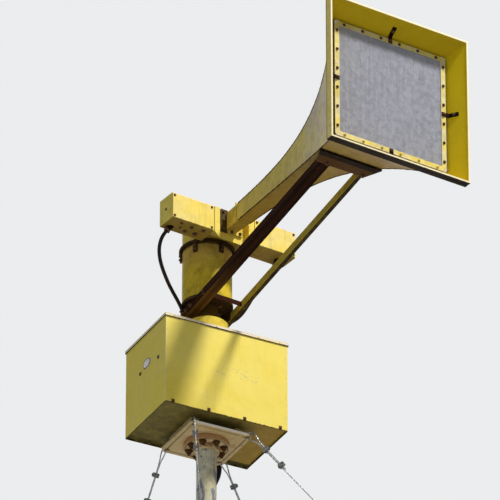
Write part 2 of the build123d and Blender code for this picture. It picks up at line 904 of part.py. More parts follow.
# Power conduit from the housing's pan down the back of the mast
def build_conduit():
    reach = pipe_diameter / 2 + feed_gap + feed_diameter / 2
    out = flange_diameter / 2 + feed_diameter
    points = [
        Vector(feed_exit_x, feed_exit_y, housing_bottom + pan_recess),
        Vector(feed_exit_x, feed_exit_y, housing_bottom - feed_exit_drop),
        Vector(feed_exit_x / 2, (feed_exit_y + reach) / 2, housing_bottom - feed_lean_drop),
        Vector(0, reach, housing_bottom - feed_straight_drop),
        Vector(0, reach, feed_kick_top),
        Vector(0, out, feed_kick_bottom),
        Vector(0, out, 0),
    ]
    radii = turn_radii(points)
    print("feed radii", [round(r) for r in radii])
    save(cord(points, radii, feed_diameter), "power_conduit")

    clips = []
    bridge = feed_clip_bridge / 2
    count = int((mast_height - 2 * feed_clip_lowest) // feed_clip_spacing) + 1
    for i in range(count):
        z = feed_clip_lowest + feed_clip_spacing * i
        low = z - feed_clip_width / 2
        high = z + feed_clip_width / 2
        mast_ring = pipe_diameter / 2 + seat_gap
        feed_ring = feed_diameter / 2 + seat_gap
        band = disc(mast_ring + feed_clip_wall, low, high)
        band += Pos(0, reach, 0) * disc(feed_ring + feed_clip_wall, low, high)
        band += block(-bridge, bridge, mast_ring, reach, low, high)
        band -= disc(mast_ring, low, high)
        band -= Pos(0, reach, 0) * disc(feed_ring, low, high)
        clips.append(band)
    save(Compound(clips), "conduit_clips")


build_mast()
build_plate()
build_guys()
build_housing()
build_core()
build_beam()
build_horn()
build_support()
build_cables()
build_conduit()
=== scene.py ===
# %% [markdown]
# # Civil defense siren tower: the look
#
# The imported CAD model is the frame. This file sets the camera to the photograph's
# angle, makes the two free conduits, gives every CAD piece its weathered finish with
# painted shade and light, and adds the small things that the CAD leaves out: bolts,
# welds, laid rope, threads, wire cloth and the housing's badge.
# Everything is in metres, in the row frame, with +Z up.

import random
from math import cos, pi, radians, sin, sqrt

import bmesh
import bpy
from mathutils import Matrix, Vector


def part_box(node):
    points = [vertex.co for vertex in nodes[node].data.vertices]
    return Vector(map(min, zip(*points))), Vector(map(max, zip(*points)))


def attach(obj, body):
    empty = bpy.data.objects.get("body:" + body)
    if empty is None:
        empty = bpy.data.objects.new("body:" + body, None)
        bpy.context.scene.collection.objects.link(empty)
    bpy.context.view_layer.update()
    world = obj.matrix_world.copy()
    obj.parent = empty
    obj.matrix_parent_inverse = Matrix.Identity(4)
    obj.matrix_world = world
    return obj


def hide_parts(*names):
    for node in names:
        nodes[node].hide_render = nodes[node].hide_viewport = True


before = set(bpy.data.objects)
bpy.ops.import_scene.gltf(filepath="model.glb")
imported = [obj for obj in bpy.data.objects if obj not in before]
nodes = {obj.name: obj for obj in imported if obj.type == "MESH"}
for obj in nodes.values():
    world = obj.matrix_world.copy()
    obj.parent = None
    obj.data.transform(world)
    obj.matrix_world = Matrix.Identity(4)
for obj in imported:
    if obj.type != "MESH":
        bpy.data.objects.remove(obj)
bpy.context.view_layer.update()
scene = bpy.context.scene
scene.view_settings.view_transform = "Standard"
dice = random.Random(7)


def add_object(name, data, spot=(0, 0, 0), way=None):
    """Put an object in the scene, looking along a way."""
    made = bpy.data.objects.new(name, data)
    scene.collection.objects.link(made)
    made.location = spot
    if way is not None:
        made.rotation_mode = "QUATERNION"
        made.rotation_quaternion = way.to_track_quat("-Z", "Y")
    return made


# %% [markdown]
# The camera stands far below and in front of the mast, to its left, and looks up
# with a long lens. The aim point is the middle of the picture.

# %% Camera
camera_azimuth = radians(-33.4)
camera_elevation = radians(-30.5)
camera_distance = 40.0
camera_lens = 516.5
aim_right, aim_up = 0.2425, 1.0348
back = Vector((
    sin(camera_azimuth) * cos(camera_elevation),
    -cos(camera_azimuth) * cos(camera_elevation),
    sin(camera_elevation),
))
right = Vector((cos(camera_azimuth), sin(camera_azimuth), 0))
up = back.cross(right)
housing_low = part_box("housing_front_panel")[0].z
aim = Vector((0, 0, housing_low)) + aim_right * right + aim_up * up

camera = add_object("camera", bpy.data.cameras.new("camera"), aim + back * camera_distance, -back)
camera.data.lens = camera_lens
camera.data.sensor_width = 36
camera.data.clip_end = 200
scene.camera = camera
print("camera at", tuple(round(v, 2) for v in camera.location))

# %% [markdown]
# Two flexible conduits hang between the cross beam and the base disc. Their points
# are the CAD route's points, which the NURBS spline takes as its control points.
# They are in millimetres, and their heights count from the base disc's underside.

# %% Free conduits
disc_bottom = 7.266
cable_diameter = 0.021
cable_points = {
    "left": [
        (-380, -178, 312), (-402, -166, 278), (-416, -154, 228), (-413, -139, 176),
        (-386, -114, 127), (-341, -86, 79), (-284, -52, 34), (-222, -17, 3),
        (-168, 18, -19), (-120, 62, -28),
    ],
    "right": [
        (330, -204, 305), (316, -200, 272), (294, -190, 230), (270, -170, 184),
        (250, -140, 140), (237, -103, 98), (230, -62, 60), (222, -20, 28),
        (206, 20, 6), (182, 54, -8), (152, 80, -22), (118, 98, -36),
    ],
}


def conduit(name, route):
    """A round conduit as one NURBS spline. Its points carry its radius, so its box is true."""
    curve = bpy.data.curves.new(name, "CURVE")
    curve.dimensions = "3D"
    curve.bevel_depth = 1.0
    curve.bevel_resolution = 6
    curve.resolution_u = 16
    curve.use_fill_caps = True
    spline = curve.splines.new("NURBS")
    spline.points.add(len(route) - 1)
    for knot, spot in zip(spline.points, route):
        knot.co = (*spot, 1)
        knot.radius = cable_diameter / 2
    spline.order_u = 3
    spline.use_endpoint_u = True
    piece = add_object(name, curve)
    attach(piece, "head")
    return piece


def centreline(piece):
    """The spots along a conduit's middle, from its curve with no bevel."""
    plain = piece.data.copy()
    plain.bevel_depth = 0
    probe = add_object("probe", plain)
    depsgraph = bpy.context.evaluated_depsgraph_get()
    mesh = bpy.data.meshes.new_from_object(probe.evaluated_get(depsgraph))
    spots = [v.co.copy() for v in mesh.vertices]
    bpy.data.objects.remove(probe)
    bpy.data.curves.remove(plain)
    return spots


conduits = {}
for side, points in cable_points.items():
    route = [(x / 1000, y / 1000, disc_bottom + z / 1000) for x, y, z in points]
    piece = conduit(f"conduit_{side}", route)
    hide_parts(f"cable_{side}")
    spots = centreline(piece)
    length = sum((b - a).length for a, b in zip(spots, spots[1:]))
    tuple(route[0])
    conduits[side] = (piece, spots)
    print("conduit", side, "length", round(length, 3))

# %% [markdown]
# Shader helpers. `Shade` wraps a node tree so that a material reads like a recipe.
# The shared effects are node groups that put out masks and heights only.

# %% Shader helpers
def linear(picked):
    """A colour picked from the photograph, from 0 to 255 numbers to linear ones."""
    shares = [value / 255 for value in picked]
    return (*(s / 12.92 if s <= 0.04045 else ((s + 0.055) / 1.055) ** 2.4 for s in shares), 1)


class Shade:
    """A node tree with short calls. Arguments are sockets or plain values."""

    def __init__(self, tree):
        self.tree = tree

    def node(self, kind, **settings):
        made = self.tree.nodes.new(kind)
        for key, value in settings.items():
            setattr(made, key, value)
        return made

    def feed(self, socket, value):
        if isinstance(value, bpy.types.NodeSocket):
            self.tree.links.new(value, socket)
        elif value is not None:
            socket.default_value = value

    def row(self, made, *given):
        """Feed a node's sockets in their order, and give its outputs."""
        for socket, value in zip(made.inputs, given):
            self.feed(socket, value)
        return made.outputs

    def named(self, made, **given):
        """Feed a node's sockets by name, and give its outputs."""
        for key, value in given.items():
            self.feed(made.inputs[key], value)
        return made.outputs

    def math(self, operation, a, b=None, clamp=False):
        return self.row(self.node("ShaderNodeMath", operation=operation, use_clamp=clamp), a, b)[0]

    def plus(self, a, b, clamp=False):
        return self.math("ADD", a, b, clamp)

    def minus(self, a, b, clamp=False):
        return self.math("SUBTRACT", a, b, clamp)

    def times(self, a, b):
        return self.math("MULTIPLY", a, b)

    def gap(self, a, b):
        """How far apart two values are."""
        return self.math("ABSOLUTE", self.minus(a, b))

    def vector(self, operation, a, b=None):
        return self.row(self.node("ShaderNodeVectorMath", operation=operation), a, b)

    def mix(self, share, a, b):
        """Mix two colours. Each is a socket or three numbers picked from the photograph."""
        made = self.node("ShaderNodeMix", data_type="RGBA")
        self.feed(made.inputs["Factor"], share)
        for socket, colour in zip(made.inputs[6:8], (a, b)):
            self.feed(socket, linear(colour) if isinstance(colour, tuple) else colour)
        return made.outputs[2]

    def stretch(self, value, low, high, out_low=0.0, out_high=1.0):
        made = self.node("ShaderNodeMapRange", interpolation_type="SMOOTHSTEP")
        return self.row(made, value, low, high, out_low, out_high)[0]

    def noise(self, vector, scale, detail=4.0, roughness=0.55, distortion=0.0):
        return self.named(
            self.node("ShaderNodeTexNoise"), Vector=vector, Scale=scale, Detail=detail,
            Roughness=roughness, Distortion=distortion,
        )["Fac"]

    def place(self, vector, scale=(1, 1, 1), rotation=(0, 0, 0)):
        made = self.node("ShaderNodeMapping")
        return self.named(made, Vector=vector, Scale=scale, Rotation=rotation)[0]

    def split(self, vector):
        return self.row(self.node("ShaderNodeSeparateXYZ"), vector)

    def fx(self, group, spot, **given):
        """The outputs of a shared effect."""
        return self.named(self.node("ShaderNodeGroup", node_tree=group), Vector=spot, **given)

    def relief(self, shader, height, strength, distance=0.0012):
        """Feed a height to a shader's normal through a bump."""
        made = self.named(
            self.node("ShaderNodeBump"), Strength=strength, Distance=distance, Height=height,
        )
        self.feed(shader.inputs["Normal"], made["Normal"])


def effect(inputs, outputs):
    """Turn a function that gives output sockets into a node group of its name."""
    def make(build):
        tree = bpy.data.node_groups.new(build.__name__, "ShaderNodeTree")
        for way, labels in (("INPUT", inputs), ("OUTPUT", outputs)):
            for label in labels.split():
                kind = "NodeSocketVector" if label == "Vector" else "NodeSocketFloat"
                tree.interface.new_socket(label, in_out=way, socket_type=kind)
        shade = Shade(tree)
        given = shade.node("NodeGroupInput").outputs[:len(inputs.split())]
        shade.row(shade.node("NodeGroupOutput"), *build(shade, *given))
        return tree
    return make


@effect("Vector Scale", "Mask")
def fx_mottle(shade, vector, scale):
    """Broad patches of faded paint."""
    broad = shade.noise(vector, scale, detail=5.0, distortion=0.4)
    return [shade.stretch(broad, 0.36, 0.66)]


@effect("Vector Scale", "Mask")
def fx_streaks(shade, vector, scale):
    """Runs of rain water, long in Z and thin across."""
    thin = shade.place(vector, scale=(1, 1, 0.055))
    runs = shade.noise(thin, scale, detail=6.0, roughness=0.65)
    broken = shade.noise(vector, 5.0, detail=3.0)
    return [shade.times(shade.stretch(runs, 0.5, 0.72), shade.stretch(broken, 0.38, 0.62))]


@effect("Vector Scale Amount", "Spots Halo")
def fx_rust(shade, vector, scale, amount):
    """Rust breaking through: a mask of the spots, and a halo round them."""
    field = shade.noise(vector, scale, detail=9.0, roughness=0.68, distortion=0.3)
    broad = shade.noise(vector, 3.1, detail=2.0)
    both = shade.plus(shade.times(field, 0.72), shade.times(broad, 0.28))
    edge = shade.minus(0.74, shade.times(amount, 0.34))
    spots = shade.stretch(both, edge, shade.plus(edge, 0.022))
    halo = shade.stretch(both, shade.minus(edge, 0.05), edge)
    return [spots, halo]


@effect("Vector Scale", "Soft Wide")
def fx_grime_and_under_shade(shade, vector, scale):
    """Soft blots of dirt everywhere, and a mask of downward faces for painted underside shade."""
    normal = shade.split(shade.node("ShaderNodeTexCoord").outputs["Normal"])["Z"]
    under = shade.stretch(normal, -0.35, -0.95)
    blot = shade.noise(vector, scale, detail=7.0, roughness=0.7)
    wide = shade.times(under, shade.stretch(blot, 0.3, 0.62, 0.88, 1.0))
    return [shade.stretch(blot, 0.4, 0.7), wide]


@effect("Vector Value Level Width Ragged Scale", "Mask")
def fx_band(shade, vector, value, level, width, ragged, scale):
    """A ragged band to both sides of a level, such as worn paint along an edge, a painted shadow
    and a painted highlight.
    """
    field = shade.noise(vector, scale, detail=6.0, roughness=0.7)
    wander = shade.times(shade.minus(field, 0.5), ragged)
    reach = shade.plus(width, wander)
    away = shade.gap(value, level)
    return [shade.stretch(shade.minus(reach, away), 0.0, 0.0015)]


@effect("Vector", "Height")
def fx_grain(shade, vector):
    """Fine unevenness of brushed paint, as a height."""
    fine = shade.noise(vector, 900.0, detail=2.0)
    wavy = shade.noise(vector, 60.0, detail=3.0)
    return [shade.plus(shade.times(fine, 0.3), shade.times(wavy, 0.7))]


print("effects:", sorted(g.name for g in bpy.data.node_groups))

# %% [markdown]
# Weathered paint, with painted shade and light. Each call names its colours, how chalky,
# streaked, grimy and rusty it is, how strongly its undersides are darkened as painted
# shade, and its bands along edges: worn paint, painted shadows and painted highlights,
# as (lane, level, width, colour, strength). A colour that comes in along a lane is
# (lane, low, high, colour). A lane is X, Y or Z, D from the mast's axis, R from the
# mouth's centre as a square, S square to the struts, C from the housing's upright
# corners, L inwards from the housing's sides, or F in the flaked patch on its front.

# %% Paint
rust_dark = (62, 34, 20)
rust_warm = (118, 66, 28)
# Brown of grime, and of painted shade on undersides
grime_and_shade_brown = (58, 46, 20)
# Pale of worn paint, and of painted highlights
pale_wear_and_highlight = (242, 226, 214)
dark_edge = (50, 36, 18)
# Black of painted shadows
shadow_black = (26, 18, 12)
deep_shade = (34, 24, 14)
# Grey of bare steel, and of painted highlights on the strap's edges
bare_and_lit_strap = (214, 214, 206)
yellow = (243, 220, 92)
mustard = (214, 187, 22)
mouth_level = 7.730
strut_slope = 0.2363
front_y = -0.2475
side_x = 0.3825
flaked_middle = (0.066, housing_low + 0.286)
flaked_half = (0.135, 0.030)
looks = {}


def material(name):
    """A new look: its node tree, its shader and its texture coordinates."""
    looks[name] = made = bpy.data.materials.new(name)
    made.use_nodes = True
    shade = Shade(made.node_tree)
    shader = made.node_tree.nodes["Principled BSDF"]
    return shade, shader, shade.node("ShaderNodeTexCoord").outputs


def lane_value(shade, spot, lane):
    """The coordinate that a band follows, for worn paint, painted shadows and painted highlights.
    """
    axes = shade.split(spot)

    def away(axis, level=0.0):
        return shade.gap(axes[axis], level)

    if lane == "D":
        squares = [shade.math("POWER", axes[axis], 2.0) for axis in "XY"]
        return shade.math("SQRT", shade.plus(*squares))
    if lane == "R":
        return shade.math("MAXIMUM", away("X"), away("Z", mouth_level))
    if lane in "CL":
        sides = [shade.minus(away("X"), side_x), shade.plus(away("Y"), front_y)]
        if lane == "C":
            sides = [shade.math("ABSOLUTE", side) for side in sides]
        return shade.math("MAXIMUM", *sides)
    if lane == "F":
        inside = shade.math("LESS_THAN", axes["Y"], 0.0)
        for axis, middle, half in zip("XZ", flaked_middle, flaked_half):
            inside = shade.times(inside, shade.math("LESS_THAN", away(axis, middle), half))
        return shade.times(shade.noise(spot, 75.0, detail=4.0), inside)
    if lane == "S":
        return shade.plus(axes["Z"], shade.times(axes["Y"], strut_slope))
    return axes[lane]


def inner_side(shade, coords, level):
    """1 where a face looks towards the line along Y at x = 0 and z = level, 0 where away."""
    place = shade.vector("SUBTRACT", coords["Object"], (0, 0, level))[0]
    flat = shade.vector("MULTIPLY", place, (1, 0, 1))[0]
    dot = shade.vector("DOT_PRODUCT", flat, coords["Normal"])["Value"]
    return shade.math("LESS_THAN", dot, 0.0)


def paint(
    name, base, faded, rough=0.5, mottle=3.0, fade=0.5, along=None, streak=0.3,
    streak_colour=grime_and_shade_brown, grime=0.25, rust=0.25, rust_scale=30.0, under=(0.6, grime_and_shade_brown),
    under_light_and_shade=(), edges=(), turn=0.0, inner=None, bump=0.25, shine=0.08,
):
    """Brushed paint on steel that has stood outdoors for decades.

    under is how strongly undersides are darkened as painted shade, and with what colour;
    the lane tints after it shift that colour as painted bounce light and painted shadow.
    inner is the level of a horn or rim whose sheltered inner faces have their own colour.
    """
    shade, shader, coords = material(name)
    spot = coords["Object"]
    if turn:
        spot = shade.place(spot, rotation=(0, 0, turn))

    def tinted(colour, lane, low, high, tint, most=1.0):
        """A colour that turns into another along a lane."""
        share = shade.stretch(lane_value(shade, spot, lane), low, high, 0.0, most)
        return shade.mix(share, colour, tint)

    patch = shade.fx(fx_mottle, spot, Scale=mottle)["Mask"]
    colour = shade.mix(shade.times(patch, fade), base, faded)
    if along:
        colour = tinted(colour, *along, 0.9)
    open_air = None
    if inner:
        sheltered = inner_side(shade, coords, inner)
        colour = shade.mix(sheltered, colour, mustard)
        open_air = shade.minus(1.0, shade.times(sheltered, 0.75))

    def cover(colour, mask, strength, tint):
        """Lay a tint over the paint, less of it on sheltered inner faces. The tints are weathering
        and the painted shade of undersides.
        """
        share = shade.times(mask, strength)
        if open_air is not None:
            share = shade.times(share, open_air)
        return shade.mix(share, colour, tint)

    runs = shade.fx(fx_streaks, spot, Scale=55.0)["Mask"]
    colour = cover(colour, runs, streak, streak_colour)
    # The grime effect gives dirt blots and the mask of downward faces that takes the painted
    # underside shade.
    dirt = shade.fx(fx_grime_and_under_shade, spot, Scale=16.0)
    colour = cover(colour, dirt["Soft"], grime, grime_and_shade_brown)
    # Undersides are darkened as painted shade; the lane tints shift its colour as painted bounce
    # light and painted shadow.
    depth, shadow = under
    for light_and_shade_tint in under_light_and_shade:
        shadow = tinted(shadow, *light_and_shade_tint)
    colour = cover(colour, dirt["Wide"], depth, shadow)
    for lane, level, width, edge_colour, strength in edges:
        band = shade.fx(
            fx_band, spot, Value=lane_value(shade, spot, lane), Level=level, Width=width,
            Ragged=min(2.4 * width, 0.014), Scale=45.0,
        )["Mask"]
        colour = shade.mix(shade.times(band, strength), colour, edge_colour)
    spots = shade.fx(fx_rust, spot, Scale=rust_scale, Amount=rust)
    colour = cover(colour, spots["Halo"], 0.55, rust_warm)
    colour = cover(colour, spots["Spots"], 1.0, rust_dark)
    worn = shade.plus(shade.times(patch, 0.14), rough)
    worn = shade.plus(worn, shade.times(spots["Spots"], 0.3), clamp=True)
    shade.named(shader, **{"Base Color": colour, "Roughness": worn, "Specular IOR Level": shine})
    grain = shade.fx(fx_grain, spot)["Height"]
    shade.relief(shader, shade.plus(grain, shade.times(spots["Spots"], 0.8)), bump)


def metal(name, colour, tarnish, rough, rust=0.2, scale=60.0, metallic=0.85):
    """Bare or galvanised metal with tarnish and spots of rust."""
    shade, shader, coords = material(name)
    spot = coords["Object"]
    patch = shade.fx(fx_mottle, spot, Scale=scale)["Mask"]
    tint = shade.mix(shade.times(patch, 0.7), colour, tarnish)
    spots = shade.fx(fx_rust, spot, Scale=scale, Amount=rust)
    tint = shade.mix(spots["Halo"], tint, rust_warm)
    tint = shade.mix(spots["Spots"], tint, rust_dark)
    worn = shade.plus(rough, shade.times(patch, 0.25))
    bare = shade.minus(metallic, shade.times(spots["Halo"], 0.6), clamp=True)
    shade.named(shader, **{"Base Color": tint, "Roughness": worn, "Metallic": bare})
    shade.relief(shader, shade.plus(patch, spots["Spots"]), 0.35, 0.0008)


housing_turn = radians(-6)
lid_low, lid_high = (c.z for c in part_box("housing_lid"))
drum_low, drum_high = (c.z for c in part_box("bearing_drum"))
casing_low, casing_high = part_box("motor_casing")
cover_low, cover_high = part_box("beam_box_covers")
throat_low, throat_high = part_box("throat_flange")
rim_low, rim_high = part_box("mouth_rim")
rim_out = (rim_high.x - rim_low.x) / 2
strap_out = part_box("screen_frame")[1].x
strap_wide = 0.030
bracket_low, bracket_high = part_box("horn_bracket")
flange_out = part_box("mast_top_flange")[1].x
plate_half = 0.195

# Undersides are darkened as painted shade, warmer towards the housing's right end as painted bounce
# light, with a black painted shadow behind the back lip. The dark band at the bottom edge and the
# black line on the panels' inner lips are painted shadows; the pale corners are worn paint.
paint(
    "housing_paint", yellow, (248, 230, 126), mottle=2.2, fade=0.6, streak=0.10, grime=0.06,
    rust=0.06, under=(0.95, (84, 74, 40)), turn=-housing_turn,
    under_light_and_shade=[("X", 0.0, 0.36, (150, 118, 50)), ("Y", 0.206, 0.216, shadow_black)],
    edges=[
        ("Z", housing_low, 0.006, dark_edge, 0.9),
        ("C", 0.0, 0.003, pale_wear_and_highlight, 0.6),
        ("L", -0.003, 0.0012, shadow_black, 0.95),
        ("F", 0.64, 0.045, (190, 182, 150), 0.6),
    ],
)
# The black line at the lid's lower edge is a painted shadow under its lip; the pale band above it
# is worn paint.
paint(
    "lid_paint", yellow, (240, 222, 160), mottle=4.0, fade=0.6, streak=0.2, rust=0.24,
    rust_scale=50.0, turn=-housing_turn,
    edges=[("Z", lid_low + 0.010, 0.006, pale_wear_and_highlight, 0.85), ("Z", lid_low, 0.004, shadow_black, 1.0)],
)
# The drum's darker yellow is its own paint and a painted shade.
paint(
    "drum_paint", (226, 202, 70), (236, 212, 96), streak=0.25, grime=0.3, rust=0.15,
    edges=[("Z", drum_low, 0.005, dark_edge, 0.8)],
)
# The pale line along the plate's front edge is a painted highlight, and its undersides take a light
# painted shade.
paint(
    "plate_paint", (206, 186, 132), (224, 206, 160), mottle=6.0, fade=0.7, streak=0.1, grime=0.3,
    rust=0.34, rust_scale=26.0, under=(0.35, (196, 160, 110)), turn=-housing_turn,
    edges=[("Y", -plate_half, 0.002, (255, 246, 232), 0.95)],
)
paint(
    "flange_paint", (224, 202, 152), (190, 160, 108), mottle=12.0, fade=0.8, streak=0.2,
    grime=0.3, rust=0.34, rust_scale=34.0, under=(0.1, grime_and_shade_brown),
    edges=[
        ("D", flange_out, 0.0015, (172, 126, 82), 0.85),
        ("D", flange_out - 0.008, 0.004, rust_dark, 0.85),
        ("D", 0.078, 0.006, rust_warm, 0.7),
    ],
)
paint(
    "casing_paint", (214, 186, 44), (226, 200, 70), mottle=5.0, fade=0.6, streak=0.55,
    streak_colour=(120, 96, 30), grime=0.4, rust=0.16, along=("Z", 7.40, 7.63, (196, 164, 86)),
    edges=[
        ("Z", casing_high.z, 0.012, dark_edge, 0.7),
        ("Z", casing_low.z, 0.010, rust_dark, 0.7),
    ],
)
# The neck's dark brown is a painted shade under the base disc.
paint("neck_paint", (104, 78, 26), (84, 58, 24), fade=0.7, streak=0.4, grime=0.4, rust=0.3)
# Undersides are darkened as painted shade, darker still towards the right box's end.
paint(
    "beam_paint", (240, 214, 84), (244, 226, 124), mottle=5.0, fade=0.7, streak=0.2, grime=0.2,
    rust=0.28, rust_scale=36.0, under=(0.85, (112, 82, 34)),
    under_light_and_shade=[("X", 0.24, 0.40, (74, 50, 26))],
)
# The pale band along the covers' top edge is worn paint and a painted highlight.
paint(
    "cover_paint", (240, 214, 100), (240, 222, 146), mottle=6.0, fade=0.8, streak=0.22,
    grime=0.15, rust=0.26, rust_scale=44.0,
    edges=[("Z", cover_low.z, 0.004, dark_edge, 0.7), ("Z", cover_high.z, 0.005, pale_wear_and_highlight, 0.7)],
)
# Golden towards the throat is warmer paint and painted light; the golden-brown undersides are
# painted shade warmed as painted bounce light.
paint(
    "horn_paint", (232, 216, 136), (222, 208, 196), mottle=3.2, fade=0.95, streak=0.6,
    streak_colour=(206, 170, 84), grime=0.26, rust=0.24, rust_scale=18.0,
    under=(0.85, (150, 115, 36)), along=("Y", -1.55, -0.5, (222, 197, 86)), inner=7.725,
)
# The pale band at the rim's front edge is worn paint and a painted highlight; its undersides and
# lower edge are painted deep shade. The orange-brown band at its back edge is wear.
paint(
    "rim_paint", (242, 220, 104), (246, 230, 150), mottle=7.0, fade=0.8, streak=0.2, grime=0.12,
    rust=0.22, under=(1.0, deep_shade), inner=mouth_level,
    edges=[
        ("Y", rim_high.y, 0.010, (176, 118, 58), 0.75),
        ("Y", rim_low.y, 0.005, (252, 242, 212), 0.75),
        ("Z", rim_low.z, 0.002, deep_shade, 0.95),
    ],
)
# The pale bands along the strap's outer and inner edges are bare worn steel and a painted
# highlight.
paint(
    "strap_paint", (232, 212, 104), (226, 216, 170), mottle=14.0, fade=0.9, streak=0.2,
    rust_scale=50.0,
    edges=[
        ("R", strap_out, 0.0025, bare_and_lit_strap, 0.9),
        ("R", strap_out - strap_wide, 0.002, bare_and_lit_strap, 0.8),
    ],
)
throat_look = {
    "base": (222, 196, 80), "faded": (204, 174, 70), "mottle": 10.0, "fade": 0.6, "grime": 0.4,
    "rust_scale": 50.0, "under": (0.7, (130, 100, 40)),
}
paint("throat_paint", **throat_look)
# The dark band over the flange's left side is rust and a painted shadow between the beam boxes.
paint(
    "throat_plate_paint", **throat_look,
    edges=[("X", throat_low.x + 0.014, 0.030, (54, 34, 16), 0.94)],
)
paint(
    "olive_paint", (196, 174, 62), (182, 162, 66), mottle=6.0, fade=0.7, grime=0.3, rust=0.16,
    rust_scale=34.0, under=(1.0, deep_shade),
)
# Near-black steel: rust and painted shade. The reddish bands along the near strut are painted
# highlights of its lit faces, and the golden tint under its lower end is painted light.
paint(
    "rusted_steel_and_painted_light", (26, 15, 11), (22, 13, 11), rough=0.62, mottle=9.0, fade=0.8,
    streak_colour=(70, 42, 26), grime=0.2, rust_scale=28.0, under=(0.9, (34, 22, 14)),
    under_light_and_shade=[("Y", -0.5, -0.1, (104, 76, 38))], bump=0.4, shine=0.02,
    edges=[("S", 7.222, 0.014, (66, 34, 22), 0.7), ("X", -0.100, 0.014, (58, 30, 20), 0.6)],
)
# The black band along the bracket's front is a painted shadow of the gap under the horn; its
# undersides are painted shade, and it turns darker towards its right end.
paint(
    "bracket_steel", (88, 60, 28), (66, 42, 24), rough=0.6, mottle=9.0, fade=0.8, streak=0.4,
    grime=0.4, rust=0.3, under=(0.8, (86, 58, 28)), bump=0.4,
    edges=[
        ("Y", bracket_low.y, 0.040, shadow_black, 0.95),
        ("X", bracket_high.x, 0.035, (52, 34, 20), 0.8),
    ],
)
paint(
    "ring_steel", (66, 48, 24), (48, 34, 20), rough=0.6, mottle=16.0, fade=0.8, grime=0.4,
    rust=0.35, rust_scale=60.0, under=(0.8, (40, 26, 16)), bump=0.4,
)
metal("rope_wire", (176, 178, 178), (104, 102, 98), 0.38, rust=0.18, scale=90.0)
metal("zinc", (132, 132, 130), (74, 66, 58), 0.5, rust=0.4, scale=80.0)
metal("bolt_steel", (84, 70, 56), (50, 38, 28), 0.55, rust=0.6, scale=120.0)
metal("bright_steel", (188, 188, 186), (140, 138, 132), 0.3, rust=0.1, scale=70.0)
metal(
    "screen_wire", (192, 195, 208), (180, 183, 196), 0.6, rust=0.0, scale=30.0, metallic=0.2,
)
print("paints:", len(bpy.data.materials))

# %% [markdown]
# The mast's paint has peeled down to blue-grey primer in long patches, and part of
# it is chalked almost white. The conduits wear black ribbed jackets. Below them, the
# list says which CAD nodes wear which look.

# %% Mast paint
shade, shader, coords = material("mast_paint")
spot = coords["Object"]
patch = shade.fx(fx_mottle, spot, Scale=7.0)["Mask"]
long_spot = shade.place(spot, scale=(1, 1, 0.35))
field = shade.noise(long_spot, 26.0, detail=8.0, roughness=0.62, distortion=0.6)
peel = shade.stretch(field, 0.545, 0.56)
rim = shade.stretch(field, 0.53, 0.545)
dirt = shade.fx(fx_grime_and_under_shade, spot, Scale=20.0)["Soft"]
runs = shade.fx(fx_streaks, spot, Scale=120.0)["Mask"]
spots = shade.fx(fx_rust, spot, Scale=44.0, Amount=0.25)
colour = (188, 180, 142)
for share, tint in (
    (patch, (208, 204, 180)),
    (shade.times(rim, 0.6), (228, 220, 190)),
    (peel, (118, 124, 132)),
    (shade.times(dirt, 0.35), (92, 84, 62)),
    (shade.times(runs, 0.5), (112, 84, 48)),
    (spots["Halo"], rust_warm),
    (spots["Spots"], rust_dark),
):
    colour = shade.mix(share, colour, tint)
shade.named(shader, **{"Base Color": colour, "Roughness": 0.62})
shade.relief(shader, shade.minus(shade.fx(fx_grain, spot)["Height"], peel), 0.5)


def ribbed_jacket(name, system, axis, pitch, tint):
    """Black plastic jacket over a wound steel hose: close ribs along one coordinate."""
    shade, shader, coords = material(name)
    wave = shade.math("SINE", shade.times(shade.split(coords[system])[axis], 2 * pi / pitch))
    dust = shade.fx(fx_mottle, coords["Object"], Scale=12.0)["Mask"]
    colour = shade.mix(shade.times(dust, 0.5), (30, 28, 30), tint)
    colour = shade.mix(shade.stretch(wave, 0.4, -0.9, 0.0, 0.35), colour, (52, 46, 40))
    shade.named(shader, **{"Base Color": colour, "Roughness": 0.55, "Specular IOR Level": 0.1})
    shade.relief(shader, wave, 0.8)


ribbed_jacket("feed_jacket", "Object", "Z", 0.006, (52, 48, 46))
ribbed_jacket("cord_jacket", "UV", "X", 0.0075, (58, 44, 38))

housing_sides = " ".join(f"housing_{side}_panel" for side in ("front", "rear", "left", "right"))
horn_walls = " ".join(f"horn_wall_{side}" for side in ("left", "right", "top", "bottom"))
finishes = {
    "mast_paint": "mast_pipe",
    "flange_paint": "mast_base_flange mast_top_flange",
    "plate_paint": "guy_plate plate_channels",
    "zinc": "guy_rope_clips guy_turnbuckles guy_anchor_plates conduit_clips",
    "housing_paint": "housing_pan " + housing_sides,
    "lid_paint": "housing_lid",
    "bolt_steel": "housing_latches",
    "drum_paint": "bearing_drum",
    "feed_jacket": "power_conduit",
    "neck_paint": "neck_tube",
    "ring_steel": "head_base_disc clamp_ring",
    "casing_paint": "motor_casing",
    "beam_paint": "chopper_housing beam_centre beam_box_left beam_box_right",
    "cover_paint": "beam_box_covers",
    "throat_plate_paint": "throat_flange",
    "throat_paint": "throat_duct",
    "horn_paint": horn_walls,
    "rim_paint": "mouth_rim",
    "strap_paint": "screen_frame",
    "rusted_steel_and_painted_light": "screen_clips strut_near strut_crossbar cable_glands",
    "bracket_steel": "horn_bracket",
    "olive_paint": "strut_far",
}
finish_of = {node: finish for finish, names in finishes.items() for node in names.split()}
for node, finish in finish_of.items():
    slots = nodes[node].data.materials
    for i in range(len(slots)):
        slots[i] = looks[finish]
    if not slots:
        slots.append(looks[finish])
for piece, spots in conduits.values():
    piece.data.materials.append(looks["cord_jacket"])
print("dressed", len(finish_of), "nodes; plain ones:", sorted(set(nodes) - set(finish_of)))

# %% [markdown]
# Small CAD edges are broken with a live bevel, so that they catch the light.

